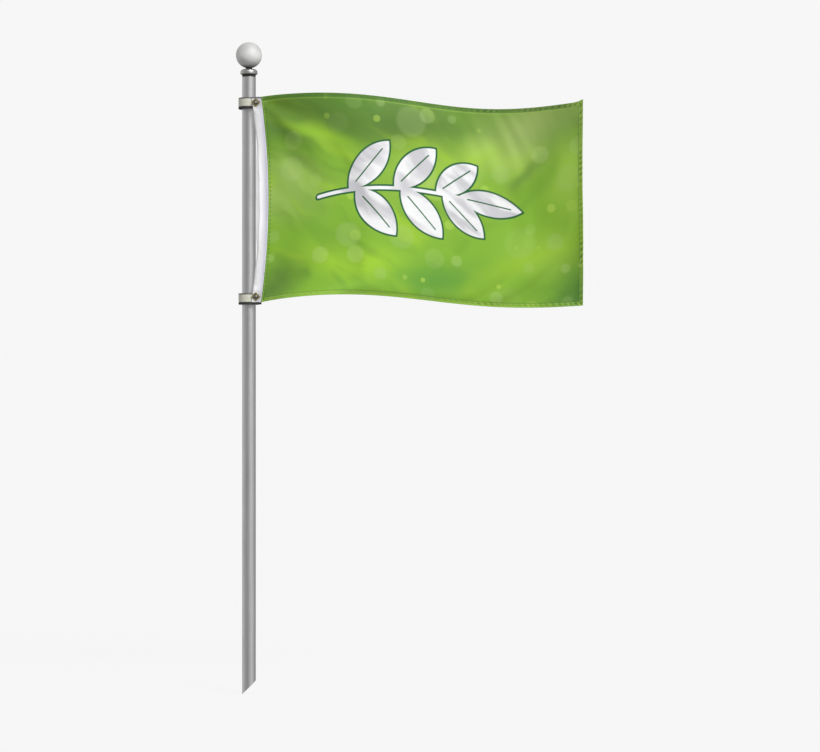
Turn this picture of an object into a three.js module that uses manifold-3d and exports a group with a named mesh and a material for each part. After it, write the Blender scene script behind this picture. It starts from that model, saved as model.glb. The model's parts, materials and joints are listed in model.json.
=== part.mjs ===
// A 600 x 1000 mm flag on a 1.8 m aluminium pole, as an assembly of separate pieces.
// Millimetres, +Z up. The origin is on the pole's axis, level with the lowest point of its
// bevelled foot. The flag streams along +X, and its screws face -Y.
import * as THREE from "three";
import { mergeVertices } from "three/addons/utils/BufferGeometryUtils.js";
import Module from "manifold-3d";

const wasm = await Module();
wasm.setup();

// ---------------------------------------------------------------- driving dimensions
const GAP = 0.3; // what neighbouring pieces keep between their faces
const OVERCUT = 5; // how far a hole's tool reaches past what it cuts

const POLE_LENGTH = 1800;
const POLE_RADIUS = 20;
const POLE_WALL = 2;
const ROUND_SIDES = 48; // facets of the pole and of what runs round it

const BALL_RADIUS = 38;
const BALL_WALL = 1.5;
const SEAL_HEIGHT = 6.4;
const COLLAR_RADIUS = 25;
const COLLAR_HEIGHT = 16;
const NECK_RADIUS = 10;
const NECK_HEIGHT = 4; // of neck that shows between the collar and the ball
const BUSH_HEIGHT = 22;
const BUSH_CLOSED = 4; // solid metal above the bush's thread
const STUD_RADIUS = 5; // M10
const STUD_DEPTH = 28; // of stud below the pole's top
const PLUG_LENGTH = 40;
const GRUB_RADIUS = 2.5; // M5
const GRUB_LENGTH = 6;
const GRUB_TURN = THREE.MathUtils.degToRad(35); // each side of the back of the pole

const FLAG_HOIST = 600;
const CLOTH_THICKNESS = 0.8;
const HEADER_WIDTH = 34;
const HEADER_THICKNESS = 1.4;
const HEADER_BOW = 18.5; // how far the pull of the cloth bows the header between its eyelets
const HEADER_SHRINK = 3; // what that bow takes from the header's height
const EYELET_BELOW_TOP = 77; // from the pole's top to the upper eyelet
const EYELET_SPACING = 564;

const RING_RADIUS = 30.5;
const RING_BORE = 21;
const RING_HEIGHT = 26;
const RING_SHIFT = 3; // each ring sits this much nearer its end of the header than its eyelet
const EAR_LENGTH = 38; // from the pole's axis to the ear's tip
const EAR_THICKNESS = 10;
const EAR_CHAMFER = 2;
const RING_EDGE = 0.8; // chamfer round the ring's two faces
const SHOE_HEIGHT = 6.4;
const SHOE_WEB = 1.6; // of shoe above the stop pin
const SHOE_POCKET = 25; // radius of the pocket that hides the stop pin
const PIN_RADIUS = 2;
const PIN_LENGTH = 47;

const EYELET_X = 22; // from the pole's axis
const EYELET_SIDE = 20;
const EYELET_CORNER = 4.5;
const UPPER_EYELET_TURN = THREE.MathUtils.degToRad(48);
const LOWER_EYELET_TURN = THREE.MathUtils.degToRad(42);
const EYELET_PLATE = 1.2;
const EYELET_BARREL = 3.2;
const EYELET_BACK = 0.8;
const EYELET_BACK_RADIUS = 8.5;
const WASHER_RADIUS = 6.2;
const WASHER_THICKNESS = 1.2;
const SCREW_RADIUS = 2; // M4
const SCREW_HEAD_RADIUS = 3.8;
const SCREW_HEAD_HEIGHT = 2.4;
const SCREW_LENGTH = 12;
const SCREW_SOCKET = 1.4; // radius and depth of its hexagon
const INSERT_RADIUS = 4;
const INSERT_LENGTH = 7;

// The wave that the cloth holds: its depth swings round WAVE_MEAN, and it is nearest at NEAR_X.
const NEAR_X = 192;
const WAVE_LENGTH = 1076;
const WAVE_MEAN = -7.5;
const WAVE_SWING = 68; // past the first quarter of the flag
const WAVE_GROWTH = 150; // the length over which the swing grows from the header's
const LIFT = 16; // how far the cloth rises and falls along the wave
const LIFT_CREST_X = 260;
const LIFT_LENGTH = 1000;
const LIFT_GROWTH = 20;
const SAG = 5; // how much lower the fly end hangs
const HOIST_SHRINK = 20; // what the folds take from the hoist at mid-length
const FLY_X = 974; // where the waving cloth ends
const FOLD_X = NEAR_X + WAVE_LENGTH / 4; // the cloth is straight here, and bends most easily
const FOLD_GAP = 1; // between the two panels of the cloth
const COLUMN_WIDTH = 26; // of the cloth's facets
const HOIST_ROWS = 12; // facets down the header and down the cloth

// ---------------------------------------------------------------- what follows from them
const UPPER_EYELET_Z = POLE_LENGTH - EYELET_BELOW_TOP;
const LOWER_EYELET_Z = UPPER_EYELET_Z - EYELET_SPACING;
const MIDDLE_Z = (UPPER_EYELET_Z + LOWER_EYELET_Z) / 2;
const EAR_FACE_Y = -RING_RADIUS;
const HEADER_Y = EAR_FACE_Y - GAP - EYELET_BACK - GAP - HEADER_THICKNESS / 2;
const CLOTH_START_X = EYELET_X + HEADER_WIDTH / 2 + GAP;
const UPPER_RING_Z = UPPER_EYELET_Z + RING_SHIFT;
const LOWER_RING_Z = LOWER_EYELET_Z - RING_SHIFT;
const SHOE_TOP = -RING_HEIGHT / 2 - GAP; // from the ring's middle
const PIN_DROP = SHOE_TOP - SHOE_WEB - GAP - PIN_RADIUS; // from the ring's middle

// ---------------------------------------------------------------- materials
const finish = (color, roughness, metalness) =>
  new THREE.MeshStandardMaterial({ color, roughness, metalness });
const ALUMINIUM = finish(0xa9abad, 0.35, 1);
const BALL_SILVER = finish(0xc9c9c8, 0.28, 1);
const STEEL = finish(0xb9bbbd, 0.3, 1);
const BRASS = finish(0x9c8f57, 0.35, 1);
const RUBBER = finish(0x2b2b2b, 0.8, 0);
const NYLON = finish(0xdcdcc8, 0.5, 0);
const CANVAS = finish(0xeceaf2, 0.9, 0);
const POLYESTER = finish(0x86b443, 0.7, 0);

// ---------------------------------------------------------------- tools
function solid(geometry) {
  const bare = geometry.clone();
  bare.deleteAttribute("normal");
  bare.deleteAttribute("uv");
  const merged = mergeVertices(bare, 1e-3);
  return new wasm.Manifold(
    new wasm.Mesh({
      numProp: 3,
      vertProperties: merged.attributes.position.array,
      triVerts: new Uint32Array(merged.index.array),
    }),
  );
}

function geometry(manifold) {
  const { vertProperties, triVerts } = manifold.getMesh();
  const made = new THREE.BufferGeometry();
  made.setAttribute("position", new THREE.BufferAttribute(vertProperties, 3));
  made.setIndex(new THREE.BufferAttribute(triVerts, 1));
  made.computeVertexNormals();
  return made;
}

const cut = (body, ...tools) =>
  geometry(tools.reduce((left, tool) => left.subtract(solid(tool)), solid(body)));

// A profile of [radius, height] pairs, turned about +Z.
function turned(profile, sides = ROUND_SIDES) {
  const points = profile.map(([r, z]) => new THREE.Vector2(r, z));
  return new THREE.LatheGeometry(points, sides).rotateX(Math.PI / 2);
}

const ringProfile = (inner, outer, low, high) => [
  [inner, low],
  [outer, low],
  [outer, high],
  [inner, high],
  [inner, low],
];

// A rod along +Y from y = from to y = to.
const rodY = (radius, from, to, sides = 24) =>
  new THREE.CylinderGeometry(radius, radius, to - from, sides).translate(0, (from + to) / 2, 0);

// A washer or tube along +Y.
const tubeY = (inner, outer, from, to, sides = 24) =>
  turned(ringProfile(inner, outer, from, to), sides).rotateX(-Math.PI / 2);

function piece(name, shape, material, x = 0, y = 0, z = 0) {
  const made = new THREE.Mesh(shape, material);
  made.name = name;
  made.position.set(x, y, z);
  return made;
}

// ---------------------------------------------------------------- pole and finial
// A rod that points away from the pole's axis, at one side of the back.
const radialRod = (radius, from, to, side) =>
  rodY(radius, from, to).rotateZ(side * GRUB_TURN);

function bevelCutter() {
  const wedge = new THREE.Shape([
    new THREE.Vector2(-POLE_RADIUS - OVERCUT, -OVERCUT),
    new THREE.Vector2(POLE_RADIUS + OVERCUT, -OVERCUT),
    new THREE.Vector2(POLE_RADIUS + OVERCUT, 2 * POLE_RADIUS + OVERCUT),
  ]);
  const depth = 4 * POLE_RADIUS;
  return new THREE.ExtrudeGeometry(wedge, { depth, bevelEnabled: false })
    .rotateX(Math.PI / 2)
    .translate(0, depth / 2, 0);
}

const GRUB_Z = POLE_LENGTH - PLUG_LENGTH / 2;

function poleTube() {
  const tube = turned(
    ringProfile(POLE_RADIUS - POLE_WALL, POLE_RADIUS, 0, POLE_LENGTH),
  );
  const reach = POLE_RADIUS + OVERCUT;
  const pinHoles = [UPPER_RING_Z, LOWER_RING_Z].map((z) =>
    rodY(PIN_RADIUS + GAP, -reach, reach).translate(0, 0, z + PIN_DROP),
  );
  const grubHoles = [-1, 1].map((side) =>
    radialRod(GRUB_RADIUS + GAP, POLE_RADIUS - 2 * POLE_WALL, reach, side).translate(0, 0, GRUB_Z),
  );
  return cut(tube, bevelCutter(), ...pinHoles, ...grubHoles);
}

function topPlug() {
  const radius = POLE_RADIUS - POLE_WALL - GAP;
  const body = turned(
    ringProfile(STUD_RADIUS + GAP, radius, POLE_LENGTH - PLUG_LENGTH, POLE_LENGTH - GAP),
  );
  const from = POLE_RADIUS - GRUB_LENGTH - GAP;
  const holes = [-1, 1].map((side) =>
    radialRod(GRUB_RADIUS + GAP, from, POLE_RADIUS + OVERCUT, side).translate(0, 0, GRUB_Z),
  );
  return cut(body, ...holes);
}

function finialCollar(low) {
  const half = COLLAR_HEIGHT / 2;
  const middle = low + half;
  const steps = 10;
  const profile = [[STUD_RADIUS + GAP, low]];
  for (let i = 0; i <= steps; i++) {
    const a = -Math.PI / 2 + (Math.PI * i) / steps;
    profile.push([COLLAR_RADIUS - half + half * Math.cos(a), middle + half * Math.sin(a)]);
  }
  profile.push([STUD_RADIUS + GAP, low + COLLAR_HEIGHT], [STUD_RADIUS + GAP, low]);
  return turned(profile);
}

// A hollow ball, open below round its neck.
function finialBall(centre) {
  const steps = 15;
  const mouth = NECK_RADIUS + GAP;
  const arc = (radius, from, to) =>
    Array.from({ length: steps + 1 }, (_, i) => {
      const a = from + ((to - from) * i) / steps;
      const r = radius * Math.cos(a);
      return [r < 1e-6 ? 0 : r, centre + radius * Math.sin(a)];
    });
  const inner = BALL_RADIUS - BALL_WALL;
  const outerArc = arc(BALL_RADIUS, -Math.acos(mouth / BALL_RADIUS), Math.PI / 2);
  const innerArc = arc(inner, Math.PI / 2, -Math.acos(mouth / inner));
  return turned([...innerArc, ...outerArc], 36);
}

function finialPieces() {
  const sealLow = POLE_LENGTH + GAP;
  const collarLow = sealLow + SEAL_HEIGHT + GAP;
  const bushLow = collarLow + COLLAR_HEIGHT + GAP;
  const ballCentre =
    bushLow + NECK_HEIGHT + Math.sqrt(BALL_RADIUS ** 2 - NECK_RADIUS ** 2);
  const bushHigh = bushLow + BUSH_HEIGHT;
  const threadEnd = bushHigh - BUSH_CLOSED;
  const hole = STUD_RADIUS + GAP;
  return [
    piece(
      "seal_ring",
      turned(ringProfile(hole, POLE_RADIUS, sealLow, sealLow + SEAL_HEIGHT)),
      RUBBER,
    ),
    piece("finial_collar", finialCollar(collarLow), ALUMINIUM),
    piece(
      "finial_bush",
      turned(
        [
          [hole, bushLow],
          [NECK_RADIUS, bushLow],
          [NECK_RADIUS, bushHigh],
          [0, bushHigh],
          [0, threadEnd],
          [hole, threadEnd],
          [hole, bushLow],
        ],
        24,
      ),
      STEEL,
    ),
    piece(
      "finial_stud",
      rodY(STUD_RADIUS, POLE_LENGTH - STUD_DEPTH, threadEnd - 2 * GAP).rotateX(Math.PI / 2),
      STEEL,
    ),
    piece("finial_ball", finialBall(ballCentre), BALL_SILVER),
  ];
}

function polePieces() {
  const grub = (side) =>
    radialRod(GRUB_RADIUS, POLE_RADIUS - GRUB_LENGTH, POLE_RADIUS - GAP, side);
  const stopPin = () => rodY(PIN_RADIUS, -PIN_LENGTH / 2, PIN_LENGTH / 2);
  return [
    piece("pole_tube", poleTube(), ALUMINIUM),
    piece("top_plug", topPlug(), ALUMINIUM),
    piece("plug_screw_left", grub(1), STEEL, 0, 0, GRUB_Z),
    piece("plug_screw_right", grub(-1), STEEL, 0, 0, GRUB_Z),
    piece("upper_stop_pin", stopPin(), STEEL, 0, 0, UPPER_RING_Z + PIN_DROP),
    piece("lower_stop_pin", stopPin(), STEEL, 0, 0, LOWER_RING_Z + PIN_DROP),
    ...finialPieces(),
  ];
}

// ---------------------------------------------------------------- swivel rings
// The plan of a ring: round the pole, with a flat ear along its front that carries the header.
function ringPlan(bore) {
  const back = EAR_FACE_Y + EAR_THICKNESS;
  const joinAngle = Math.asin(back / RING_RADIUS);
  const plan = new THREE.Shape();
  plan.moveTo(0, EAR_FACE_Y);
  plan.lineTo(EAR_LENGTH - EAR_CHAMFER, EAR_FACE_Y);
  plan.lineTo(EAR_LENGTH, EAR_FACE_Y + EAR_CHAMFER);
  plan.lineTo(EAR_LENGTH, back - EAR_CHAMFER);
  plan.lineTo(EAR_LENGTH - EAR_CHAMFER, back);
  plan.absarc(0, 0, RING_RADIUS, joinAngle, 1.5 * Math.PI, false);
  plan.holes.push(new THREE.Path().absarc(0, 0, bore, 0, 2 * Math.PI, true));
  return plan;
}

// Its middle is shift above the eyelet, where its insert is.
function swivelRing(shift) {
  const body = new THREE.ExtrudeGeometry(ringPlan(RING_BORE), {
    depth: RING_HEIGHT - 2 * RING_EDGE,
    bevelThickness: RING_EDGE,
    bevelSize: RING_EDGE,
    bevelOffset: -RING_EDGE,
    bevelSegments: 1,
    curveSegments: ROUND_SIDES / 2,
  }).translate(0, 0, shift + RING_EDGE - RING_HEIGHT / 2);
  const insertHole = rodY(
    INSERT_RADIUS + GAP,
    EAR_FACE_Y - OVERCUT,
    EAR_FACE_Y + 2 * GAP + INSERT_LENGTH,
  ).translate(EYELET_X, 0, 0);
  return cut(body, insertHole);
}

// The rubber shoe under a ring, hollow below so that it covers the stop pin that it turns on.
function glideShoe(shift) {
  const top = shift + SHOE_TOP;
  const body = new THREE.ExtrudeGeometry(ringPlan(RING_BORE), {
    depth: SHOE_HEIGHT,
    bevelEnabled: false,
    curveSegments: ROUND_SIDES / 2,
  }).translate(0, 0, top - SHOE_HEIGHT);
  const pocketLow = top - SHOE_HEIGHT - OVERCUT;
  const pocketHigh = top - SHOE_WEB;
  const pocket = new THREE.CylinderGeometry(
    SHOE_POCKET,
    SHOE_POCKET,
    pocketHigh - pocketLow,
    ROUND_SIDES,
  )
    .rotateX(Math.PI / 2)
    .translate(0, 0, (pocketLow + pocketHigh) / 2);
  return cut(body, pocket);
}

// A brass plate like a cushion-cornered lozenge, with the barrel that goes through the header.
function eyeletFront(turn) {
  const half = EYELET_SIDE / 2;
  const flat = half - EYELET_CORNER;
  const plan = new THREE.Shape();
  plan.moveTo(-flat, -half);
  [0, 1, 2, 3].forEach((quarter) => {
    const a = (quarter * Math.PI) / 2;
    const at = (x, y) => [
      x * Math.cos(a) - y * Math.sin(a),
      x * Math.sin(a) + y * Math.cos(a),
    ];
    plan.lineTo(...at(flat, -half));
    plan.quadraticCurveTo(...at(half, -half), ...at(half, -flat));
  });
  const plate = new THREE.ExtrudeGeometry(plan, {
    depth: EYELET_PLATE,
    bevelEnabled: false,
    curveSegments: 5,
  })
    .rotateZ(turn)
    .rotateX(Math.PI / 2);
  const back = GAP + HEADER_THICKNESS + GAP + EYELET_BACK / 2;
  const barrel = rodY(EYELET_BARREL, -EYELET_PLATE / 2, back);
  const hole = rodY(SCREW_RADIUS + GAP, -EYELET_PLATE - OVERCUT, back + OVERCUT);
  return geometry(solid(plate).add(solid(barrel)).subtract(solid(hole)));
}

// A button-head screw along +Y, with its head's underside at y = 0.
function headerScrew() {
  const dome = 6;
  const profile = [[0, SCREW_LENGTH], [SCREW_RADIUS, SCREW_LENGTH], [SCREW_RADIUS, 0]];
  for (let i = 0; i <= dome; i++) {
    const a = (Math.PI / 2) * (i / dome);
    profile.push([SCREW_HEAD_RADIUS * Math.cos(a), -SCREW_HEAD_HEIGHT * Math.sin(a)]);
  }
  profile.at(-1)[0] = 0;
  const body = turned(profile.reverse(), 24).rotateX(-Math.PI / 2);
  const socket = new THREE.CylinderGeometry(
    SCREW_SOCKET,
    SCREW_SOCKET,
    2 * SCREW_SOCKET,
    6,
  ).translate(0, -SCREW_HEAD_HEIGHT, 0);
  return cut(body, socket);
}

// One ring with all that hangs on it. Its group stands at its eyelet's height.
function ringSet(prefix, height, shift, eyeletTurn) {
  const group = new THREE.Group();
  group.position.z = height;
  const plateFace = HEADER_Y - HEADER_THICKNESS / 2 - GAP;
  const washerFace = plateFace - EYELET_PLATE - GAP;
  const headFace = washerFace - WASHER_THICKNESS - GAP;
  const bore = SCREW_RADIUS + GAP;
  group.add(
    piece(`${prefix}_swivel_ring`, swivelRing(shift), NYLON),
    piece(`${prefix}_glide_shoe`, glideShoe(shift), RUBBER),
    piece(
      `${prefix}_threaded_insert`,
      tubeY(bore, INSERT_RADIUS, EAR_FACE_Y + GAP, EAR_FACE_Y + GAP + INSERT_LENGTH),
      BRASS,
      EYELET_X,
    ),
    piece(
      `${prefix}_eyelet_back`,
      tubeY(
        EYELET_BARREL + GAP,
        EYELET_BACK_RADIUS,
        EAR_FACE_Y - GAP - EYELET_BACK,
        EAR_FACE_Y - GAP,
      ),
      BRASS,
      EYELET_X,
    ),
    piece(`${prefix}_eyelet_front`, eyeletFront(eyeletTurn), BRASS, EYELET_X, plateFace),
    piece(
      `${prefix}_rubber_washer`,
      tubeY(bore, WASHER_RADIUS, washerFace - WASHER_THICKNESS, washerFace),
      RUBBER,
      EYELET_X,
    ),
    piece(`${prefix}_header_screw`, headerScrew(), STEEL, EYELET_X, headFace),
  );
  return group;
}

// ---------------------------------------------------------------- header and cloth
const waveAngle = (x) => (2 * Math.PI * (x - NEAR_X)) / WAVE_LENGTH;
const HEADER_SWING = (WAVE_MEAN - HEADER_Y) / Math.cos(waveAngle(CLOTH_START_X));

function depthAt(x) {
  const grown = 1 - Math.exp((CLOTH_START_X - x) / WAVE_GROWTH);
  const swing = HEADER_SWING + (WAVE_SWING - HEADER_SWING) * grown;
  return WAVE_MEAN - swing * Math.cos(waveAngle(x));
}

const shareAlong = (x) => (x - CLOTH_START_X) / (FLY_X - CLOTH_START_X);

function liftAt(x) {
  const grown = 1 - Math.exp((CLOTH_START_X - x) / LIFT_GROWTH);
  const wave = Math.cos((2 * Math.PI * (x - LIFT_CREST_X)) / LIFT_LENGTH);
  return LIFT * grown * wave - SAG * shareAlong(x);
}

// What is left of the hoist, as a share of it.
const hoistAt = (x) =>
  1 - (HEADER_SHRINK + HOIST_SHRINK * Math.sin(Math.PI * shareAlong(x))) / FLAG_HOIST;

// How far the header stands out from its eyelets' line, at a height from its middle.
const bowAt = (z) => HEADER_BOW * (1 - (z / (EYELET_SPACING / 2)) ** 2);

// The header's bow fades to nothing at FOLD_X.
const bowShare = (x) => Math.max(0, 1 - (x - CLOTH_START_X) / (FOLD_X - CLOTH_START_X)) ** 2;

// Moves every vertex of a flat panel to the place that shape(x, y, z) gives.
function shaped(panel, shape) {
  const at = panel.attributes.position;
  for (let i = 0; i < at.count; i++) at.setXYZ(i, ...shape(at.getX(i), at.getY(i), at.getZ(i)));
  return panel;
}

function headerTape() {
  const panel = new THREE.BoxGeometry(
    HEADER_WIDTH,
    HEADER_THICKNESS,
    FLAG_HOIST,
    1,
    1,
    HOIST_ROWS,
  );
  const tape = shaped(panel, (x, y, z) => [
    EYELET_X + x + bowAt(z),
    HEADER_Y + y,
    z * (1 - HEADER_SHRINK / FLAG_HOIST),
  ]);
  const holes = [-1, 1].map((end) =>
    rodY(EYELET_BARREL + GAP, HEADER_Y - OVERCUT, HEADER_Y + OVERCUT).translate(
      EYELET_X,
      0,
      (end * EYELET_SPACING) / 2,
    ),
  );
  return cut(tape, ...holes);
}

// The cloth between two places along the flag, as one thin waving solid.
function clothPanel(from, to) {
  const width = to - from;
  const panel = new THREE.BoxGeometry(
    width,
    CLOTH_THICKNESS,
    FLAG_HOIST,
    Math.ceil(width / COLUMN_WIDTH),
    1,
    HOIST_ROWS,
  );
  return shaped(panel, (x, y, z) => {
    const along = (from + to) / 2 + x;
    return [
      along + bowAt(z) * bowShare(along),
      depthAt(along) + y,
      liftAt(along) + z * hoistAt(along),
    ];
  });
}

// ---------------------------------------------------------------- the assembly
const flagWithPole = new THREE.Group();
flagWithPole.add(
  ...polePieces(),
  ringSet("upper", UPPER_EYELET_Z, RING_SHIFT, UPPER_EYELET_TURN),
  ringSet("lower", LOWER_EYELET_Z, -RING_SHIFT, LOWER_EYELET_TURN),
  piece("header_tape", headerTape(), CANVAS, 0, 0, MIDDLE_Z),
  piece("cloth_hoist", clothPanel(CLOTH_START_X, FOLD_X - FOLD_GAP / 2), POLYESTER, 0, 0, MIDDLE_Z),
  piece("cloth_fly", clothPanel(FOLD_X + FOLD_GAP / 2, FLY_X), POLYESTER, 0, 0, MIDDLE_Z),
);

export default flagWithPole;
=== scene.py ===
import json
import math

import bmesh
import bpy
import numpy as np
from mathutils import Matrix, Vector


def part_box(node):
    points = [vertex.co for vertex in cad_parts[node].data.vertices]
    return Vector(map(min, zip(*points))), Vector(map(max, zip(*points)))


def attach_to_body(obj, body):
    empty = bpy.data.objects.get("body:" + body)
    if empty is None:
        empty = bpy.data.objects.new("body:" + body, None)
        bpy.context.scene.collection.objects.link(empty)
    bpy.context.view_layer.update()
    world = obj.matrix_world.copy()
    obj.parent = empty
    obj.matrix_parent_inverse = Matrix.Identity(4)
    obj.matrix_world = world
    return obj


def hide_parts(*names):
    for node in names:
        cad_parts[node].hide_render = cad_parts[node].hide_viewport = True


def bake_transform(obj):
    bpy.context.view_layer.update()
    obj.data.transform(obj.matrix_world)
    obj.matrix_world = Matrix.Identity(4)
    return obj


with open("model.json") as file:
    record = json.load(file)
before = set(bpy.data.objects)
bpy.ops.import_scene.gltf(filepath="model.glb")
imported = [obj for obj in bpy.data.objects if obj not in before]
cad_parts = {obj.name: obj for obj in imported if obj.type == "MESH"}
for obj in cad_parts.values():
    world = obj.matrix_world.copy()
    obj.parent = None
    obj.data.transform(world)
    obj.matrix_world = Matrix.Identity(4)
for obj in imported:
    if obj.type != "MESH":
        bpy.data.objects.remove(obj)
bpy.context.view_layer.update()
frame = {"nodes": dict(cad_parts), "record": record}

MM = 0.001

# ---- read from the frame

SLOTS = {part["node"]: part["material_slot"] for part in frame["record"]["subparts"]}
BODIES = {
    node: body for body, nodes in frame["record"]["behaviour"]["bodies"].items() for node in nodes
}


def centre_of(node):
    low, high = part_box(node)
    return (low + high) / 2


POLE_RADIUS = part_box("pole_tube")[1].x
EYELETS = {end: centre_of(f"{end}_eyelet_front") for end in ("upper", "lower")}
EYELET_X = EYELETS["upper"].x
MIDDLE_Z = (EYELETS["upper"].z + EYELETS["lower"].z) / 2
EYELET_SPACING = EYELETS["upper"].z - EYELETS["lower"].z
HEADER_LOW, HEADER_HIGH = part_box("header_tape")
HEADER_Y = (HEADER_LOW.y + HEADER_HIGH.y) / 2
HEADER_HEIGHT = HEADER_HIGH.z - HEADER_LOW.z
FOLD_X, FLY_X = (corner.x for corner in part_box("cloth_fly"))

# ---- the flag's own sizes

HOIST = 0.6
HEADER_WIDTH = 34 * MM
HEADER_BOW = 18.5 * MM
CLOTH_START_X = EYELET_X + HEADER_WIDTH / 2
CLOTH_HALF_THICKNESS = 0.2 * MM
HEM_WIDTH = 13 * MM
HEM_LAYERS = 0.7 * MM  # what the folded layers of a hem add behind the cloth
HEM_STITCH_INSET = 7 * MM
HEADER_SEAM_INSET = 2.6 * MM

# The wave that the cloth holds, as its two panels in the frame do.
NEAR_X = 192 * MM
WAVE_LENGTH = 1.076
WAVE_MEAN = -7.5 * MM
WAVE_SWING = 68 * MM
WAVE_GROWTH = 150 * MM
LIFT = 16 * MM
LIFT_CREST_X = 260 * MM
LIFT_LENGTH = 1.0
LIFT_GROWTH = 20 * MM
SAG = 5 * MM
CORNER_PEAK, CORNER_REACH = 6 * MM, 30 * MM  # the fly's upper corner turns up
HEADER_SHRINK = 3 * MM
HOIST_SHRINK = 20 * MM

# ---- nodes


class Nodes:
    """A node tree. Each method adds a node and returns its result."""

    def __init__(self, tree):
        self.tree = tree

    def feed(self, socket, value):
        if isinstance(value, bpy.types.NodeSocket):
            self.tree.links.new(value, socket)
        else:
            socket.default_value = value

    def add(self, kind, inputs=None, output=0, **settings):
        node = self.tree.nodes.new("ShaderNode" + kind)
        for name, value in settings.items():
            setattr(node, name, value)
        for name, value in (inputs or {}).items():
            self.feed(node.inputs[name], value)
        return node.outputs[output]

    def math(self, operation, *values):
        return self.add("Math", dict(enumerate(values)), operation=operation)

    def times(self, first, second):
        return self.math("MULTIPLY", first, second)

    def minus(self, first, second):
        return self.math("SUBTRACT", first, second)

    def vector(self, operation, *values, output=0):
        return self.add("VectorMath", dict(enumerate(values)), output, operation=operation)

    def scale(self, place, amount):
        return self.add("VectorMath", {"Vector": place, "Scale": amount}, operation="SCALE")

    def rotated(self, place, degrees):
        inputs = {"Vector": place, "Angle": math.radians(degrees)}
        return self.add("VectorRotate", inputs, rotation_type="Z_AXIS")

    def length(self, x, y):
        return self.vector("LENGTH", self.add("CombineXYZ", {0: x, 1: y}), output=1)

    def parts(self, place):
        """The x and y of a place."""
        x = self.add("SeparateXYZ", {0: place})
        return x, x.node.outputs[1]

    def ramp(self, value, low, high, to_low=0.0, to_high=1.0):
        """A smooth step from to_low to to_high as value goes from low to high."""
        inputs = {0: value, 1: low, 2: high, 3: to_low, 4: to_high}
        return self.add("MapRange", inputs, interpolation_type="SMOOTHSTEP")

    def noise(self, place, scale, detail=2.0, roughness=0.5, output=0):
        inputs = {"Vector": place, "Scale": scale, "Detail": detail, "Roughness": roughness}
        return self.add("TexNoise", inputs, output)

    def mix(self, share, first, second):
        return self.add("Mix", {0: share, 6: first, 7: second}, 2, data_type="RGBA")


class Paint(Nodes):
    """A material and its nodes. Its tone is its colour so far, which each tint is laid over."""

    def __init__(self, name, **sockets):
        self.material = bpy.data.materials.new(name)
        self.material.use_nodes = True
        super().__init__(self.material.node_tree)
        self.set(**sockets)

    def set(self, **sockets):
        shader = self.tree.nodes["Principled BSDF"]
        for name, value in sockets.items():
            self.feed(shader.inputs[name.replace("_", " ").title().replace("Ior", "IOR")], value)

    def tint(self, share, *shade):
        """Lays a share of a colour over the tone."""
        self.tone = self.mix(share, self.tone, colour(*shade))

    def finished(self, roughness, normal):
        self.set(base_color=self.tone, roughness=roughness, normal=normal)
        return self.material

    def where(self, stretch=(1, 1, 1)):
        """Places on the object, scaled along each axis."""
        return self.vector("MULTIPLY", self.add("TexCoord", output="Object"), stretch)

    def height(self):
        return self.add("SeparateXYZ", {0: self.where()}, 2)

    def flat(self):
        """Places on the flat cloth: metres from its header, and metres up from its lower edge."""
        return self.add("UVMap", uv_map="Flat")

    def drawn_on(self, name):
        """What the mesh stores under that name."""
        return self.add("Attribute", attribute_name=name, output="Fac")

    def bump(self, height, distance, strength=1.0, under=None):
        inputs = {"Height": height, "Distance": distance, "Strength": strength}
        if under is not None:
            inputs["Normal"] = under
        return self.add("Bump", inputs)


def colour(*screen):
    """A colour given as it shows on a screen, 0 to 255."""
    return (*(((c / 255 + 0.055) / 1.055) ** 2.4 if c > 10 else c / 3294.6 for c in screen), 1)


# ---- metals, rubber and nylon


def drawn_aluminium():
    """Drawn tube: fine lines along its length, cloudy patches, and small scuffs."""
    p = Paint("drawn_aluminium", metallic=1.0)
    lines = p.noise(p.where((1, 1, 0.006)), 900, 3, 0.7)
    clouds = p.noise(p.where((1, 1, 0.35)), 38, 4, 0.6)
    scuffs = p.noise(p.where((1, 1, 0.5)), 210, 3, 0.6)
    p.tone = p.mix(p.ramp(lines, 0.35, 0.65), colour(204, 204, 205), colour(222, 222, 221))
    p.tint(p.ramp(clouds, 0.4, 0.7, 0, 0.4), 202, 202, 204)
    p.tint(p.ramp(scuffs, 0.62, 0.74, 0, 0.25), 164, 164, 166)
    roughness = p.math("ADD", p.ramp(clouds, 0.3, 0.7, 0.3, 0.38), p.times(lines, 0.06))
    return p.finished(roughness, p.bump(lines, 0.03 * MM, 0.5))


def turned_metal(name, dark, light, roughness, groove=0.7 * MM):
    """Turned metal: rings round its axis, faint spots, and a film of dust that dulls it."""
    p = Paint(name, metallic=1.0)
    rings = p.noise(p.where((0.02, 0.02, 1)), 0.6 / groove, 2, 0.6)
    clouds = p.noise(p.where(), 70, 4, 0.6)
    p.tone = p.mix(clouds, colour(*dark), colour(*light))
    dusty = p.ramp(clouds, 0.3, 0.7, roughness - 0.04, roughness + 0.06)
    return p.finished(dusty, p.bump(rings, 0.05 * MM, 0.7))


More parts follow.
